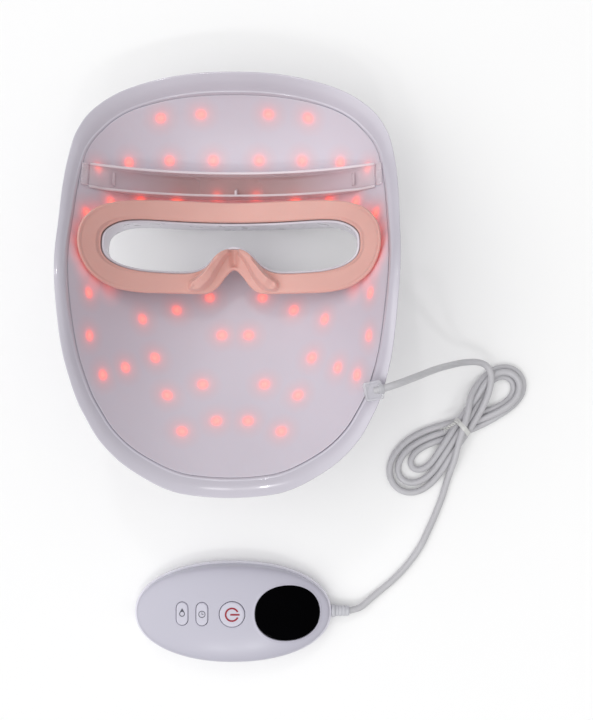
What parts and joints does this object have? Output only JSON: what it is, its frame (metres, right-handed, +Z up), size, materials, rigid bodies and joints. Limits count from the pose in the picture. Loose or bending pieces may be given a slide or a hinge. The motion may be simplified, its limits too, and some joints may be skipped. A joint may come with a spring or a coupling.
{
  "type": "led face mask",
  "caption": "Rigid light-therapy face mask lying face side up, with a pull-off eye pad, forehead band, tied lead and an oval wired remote with keys and a display.",
  "frame": {"origin": "on the surface the mask and remote lie on, under the middle of the box round mask and remote", "axes": "+Z up out of the face side of the mask, +Y from chin to forehead, +X across the face towards the side where the lead leaves"},
  "size_m": [0.2737, 0.3511, 0.0941],
  "materials": {
    "white_gloss_shell": "glossy white moulded plastic",
    "frosted_panel": "frosted translucent plastic with a light gloss",
    "white_frame": "white moulded plastic",
    "pink_silicone": "soft flesh-pink silicone, satin",
    "clear_band": "clear moulded plastic",
    "flex_circuit": "polyimide flexible circuit",
    "red_light": "lit red lamp",
    "circuit_board": "green circuit board",
    "grey_clear_gland": "grey-clear plastic",
    "white_cord": "white vinyl sleeve, satin",
    "tie_plastic": "white plastic twist tie",
    "grey_relief": "pale grey moulded sleeve",
    "remote_gloss": "glossy lavender-white plastic",
    "black_window": "glossy black window",
    "black_module": "black",
    "key_gloss": "glossy lavender-white plastic",
    "red_print": "printed red",
    "grey_print": "printed grey",
    "cell_wrap": "silver-grey film wrap",
    "bare_steel": "plain steel"
  },
  "bodies": {
    "mask_and_remote": {"outer_shell": "white_gloss_shell", "inner_panel": "frosted_panel", "eye_window_frame": "white_frame", "forehead_band": "clear_band", "forehead_band_clips": "clear_band", "led_strip_upper": "flex_circuit", "led_strip_lower": "flex_circuit", "face_leds": "red_light", "cord_terminal_board": "circuit_board", "cord_gland": "grey_clear_gland", "cord_mask_run": "white_cord", "cord_hank": "white_cord", "cord_tie": "tie_plastic", "cord_remote_run": "white_cord", "remote_strain_relief": "grey_relief", "remote_top_cover": "remote_gloss", "remote_bottom_cover": "remote_gloss", "display_lens": "black_window", "display_module": "black_module", "key_switches": "black_module", "remote_board": "circuit_board", "battery_cell": "cell_wrap", "charge_port": "bare_steel", "remote_screws": "bare_steel"},
    "eye_pad": {"eye_pad": "pink_silicone"},
    "power_key": {"power_button": "key_gloss", "power_symbol": "red_print"},
    "time_key": {"time_button": "key_gloss", "clock_mark": "grey_print"},
    "color_key": {"color_button": "key_gloss", "drop_mark": "grey_print"}
  },
  "joints": [
    {"name": "eye_pad_pull", "type": "slide", "parent": "mask_and_remote", "child": "eye_pad", "axis": [0, 0, 1], "range_m": [0, 0.03]},
    {"name": "power_press", "type": "slide", "parent": "mask_and_remote", "child": "power_key", "axis": [0, 0, -1], "range_m": [0, 0.0008], "stiffness_N_per_m": 1500, "springref_m": -0.0003},
    {"name": "time_press", "type": "slide", "parent": "mask_and_remote", "child": "time_key", "axis": [0, 0, -1], "range_m": [0, 0.0008], "stiffness_N_per_m": 1500, "springref_m": -0.0003},
    {"name": "color_press", "type": "slide", "parent": "mask_and_remote", "child": "color_key", "axis": [0, 0, -1], "range_m": [0, 0.0008], "stiffness_N_per_m": 1500, "springref_m": -0.0003}
  ]
}
